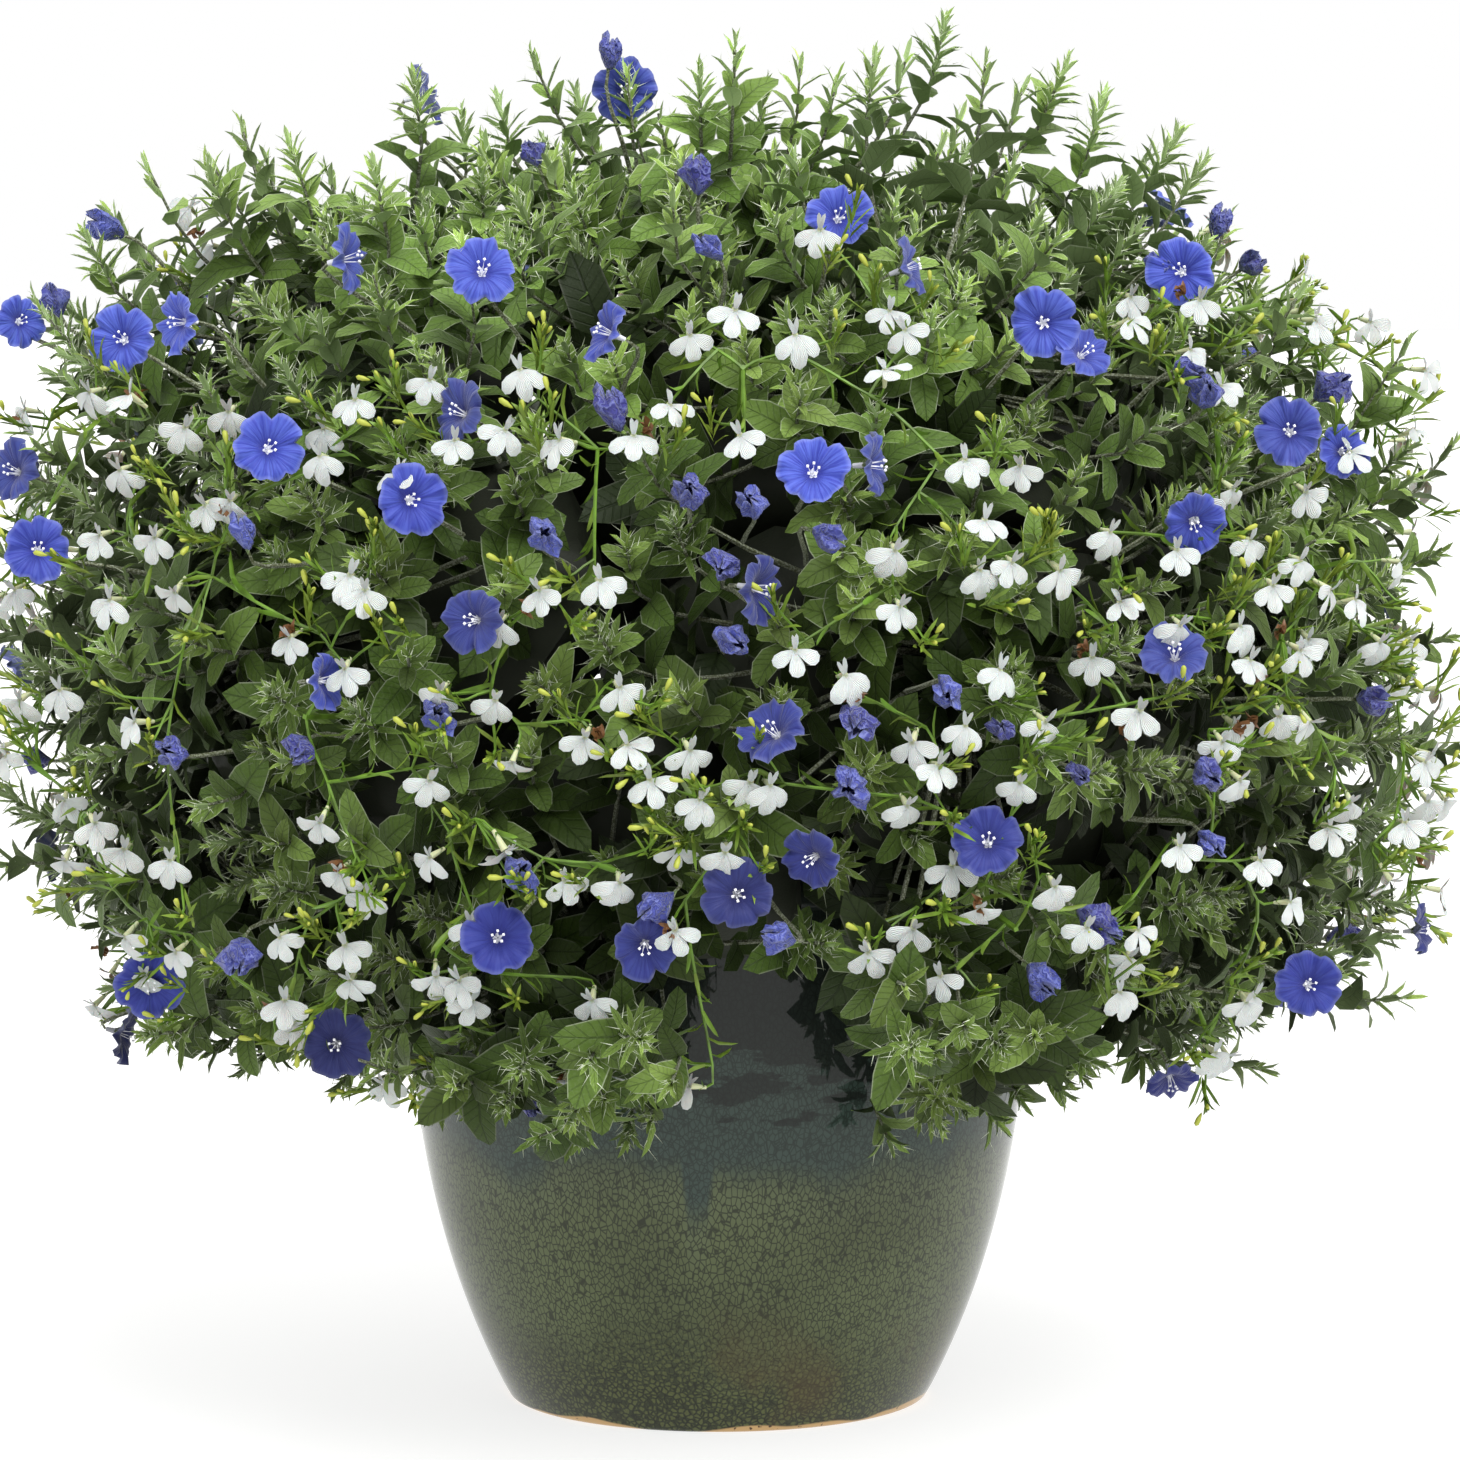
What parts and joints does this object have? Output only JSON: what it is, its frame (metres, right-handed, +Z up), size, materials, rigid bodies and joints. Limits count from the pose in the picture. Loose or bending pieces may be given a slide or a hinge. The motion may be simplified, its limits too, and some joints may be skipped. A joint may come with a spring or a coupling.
{
  "type": "potted dwarf morning glory with lobelia",
  "caption": "Bushy mixed planting of blue dwarf morning glory and white trailing lobelia, hanging over a tapered, glazed ceramic pot.",
  "frame": {"origin": "middle of the flat base of the pot, on the surface it stands on", "axes": "+Z up along the pot's axis; -Y is the front of the planting, +X its right side seen from the front"},
  "size_m": [0.6362, 0.6612, 0.5888],
  "materials": {
    "pot_glaze": "gloss",
    "soil": "matte",
    "evolvulus_foliage": "matte",
    "lobelia_flower": "matte",
    "evolvulus_petal": "matte"
  },
  "bodies": {
    "root": {"pot": "pot_glaze", "soil": "soil", "evolvulus_blooms_01": "evolvulus_petal", "evolvulus_blooms_02": "evolvulus_petal", "evolvulus_blooms_03": "evolvulus_petal", "evolvulus_blooms_04": "evolvulus_petal", "evolvulus_blooms_05": "evolvulus_petal", "evolvulus_blooms_06": "evolvulus_petal", "evolvulus_blooms_07": "evolvulus_petal", "evolvulus_blooms_08": "evolvulus_petal", "evolvulus_blooms_09": "evolvulus_petal", "evolvulus_blooms_10": "evolvulus_petal", "evolvulus_blooms_11": "evolvulus_petal", "evolvulus_blooms_12": "evolvulus_petal", "evolvulus_blooms_13": "evolvulus_petal", "evolvulus_blooms_14": "evolvulus_petal", "evolvulus_blooms_15": "evolvulus_petal", "evolvulus_blooms_16": "evolvulus_petal", "evolvulus_blooms_17": "evolvulus_petal", "evolvulus_blooms_18": "evolvulus_petal", "evolvulus_blooms_19": "evolvulus_petal", "evolvulus_blooms_20": "evolvulus_petal", "evolvulus_blooms_21": "evolvulus_petal", "evolvulus_blooms_22": "evolvulus_petal", "evolvulus_blooms_23": "evolvulus_petal", "evolvulus_blooms_24": "evolvulus_petal", "evolvulus_blooms_25": "evolvulus_petal", "evolvulus_blooms_26": "evolvulus_petal", "evolvulus_blooms_27": "evolvulus_petal", "evolvulus_blooms_28": "evolvulus_petal", "evolvulus_blooms_29": "evolvulus_petal", "evolvulus_blooms_30": "evolvulus_petal", "evolvulus_stem_01": "evolvulus_foliage", "evolvulus_stem_02": "evolvulus_foliage", "evolvulus_stem_03": "evolvulus_foliage", "evolvulus_stem_04": "evolvulus_foliage", "evolvulus_stem_05": "evolvulus_foliage", "evolvulus_stem_06": "evolvulus_foliage", "evolvulus_stem_07": "evolvulus_foliage", "evolvulus_stem_08": "evolvulus_foliage", "evolvulus_stem_09": "evolvulus_foliage", "evolvulus_stem_10": "evolvulus_foliage", "evolvulus_stem_11": "evolvulus_foliage", "evolvulus_stem_12": "evolvulus_foliage", "evolvulus_stem_13": "evolvulus_foliage", "evolvulus_stem_14": "evolvulus_foliage", "evolvulus_stem_15": "evolvulus_foliage", "lobelia_spray_01": "lobelia_flower", "lobelia_spray_02": "lobelia_flower", "lobelia_spray_03": "lobelia_flower", "lobelia_spray_04": "lobelia_flower", "lobelia_spray_05": "lobelia_flower", "lobelia_spray_06": "lobelia_flower", "lobelia_spray_07": "lobelia_flower", "lobelia_spray_08": "lobelia_flower", "lobelia_spray_09": "lobelia_flower", "lobelia_spray_10": "lobelia_flower", "lobelia_spray_11": "lobelia_flower", "lobelia_spray_12": "lobelia_flower"}
  },
  "joints": []
}
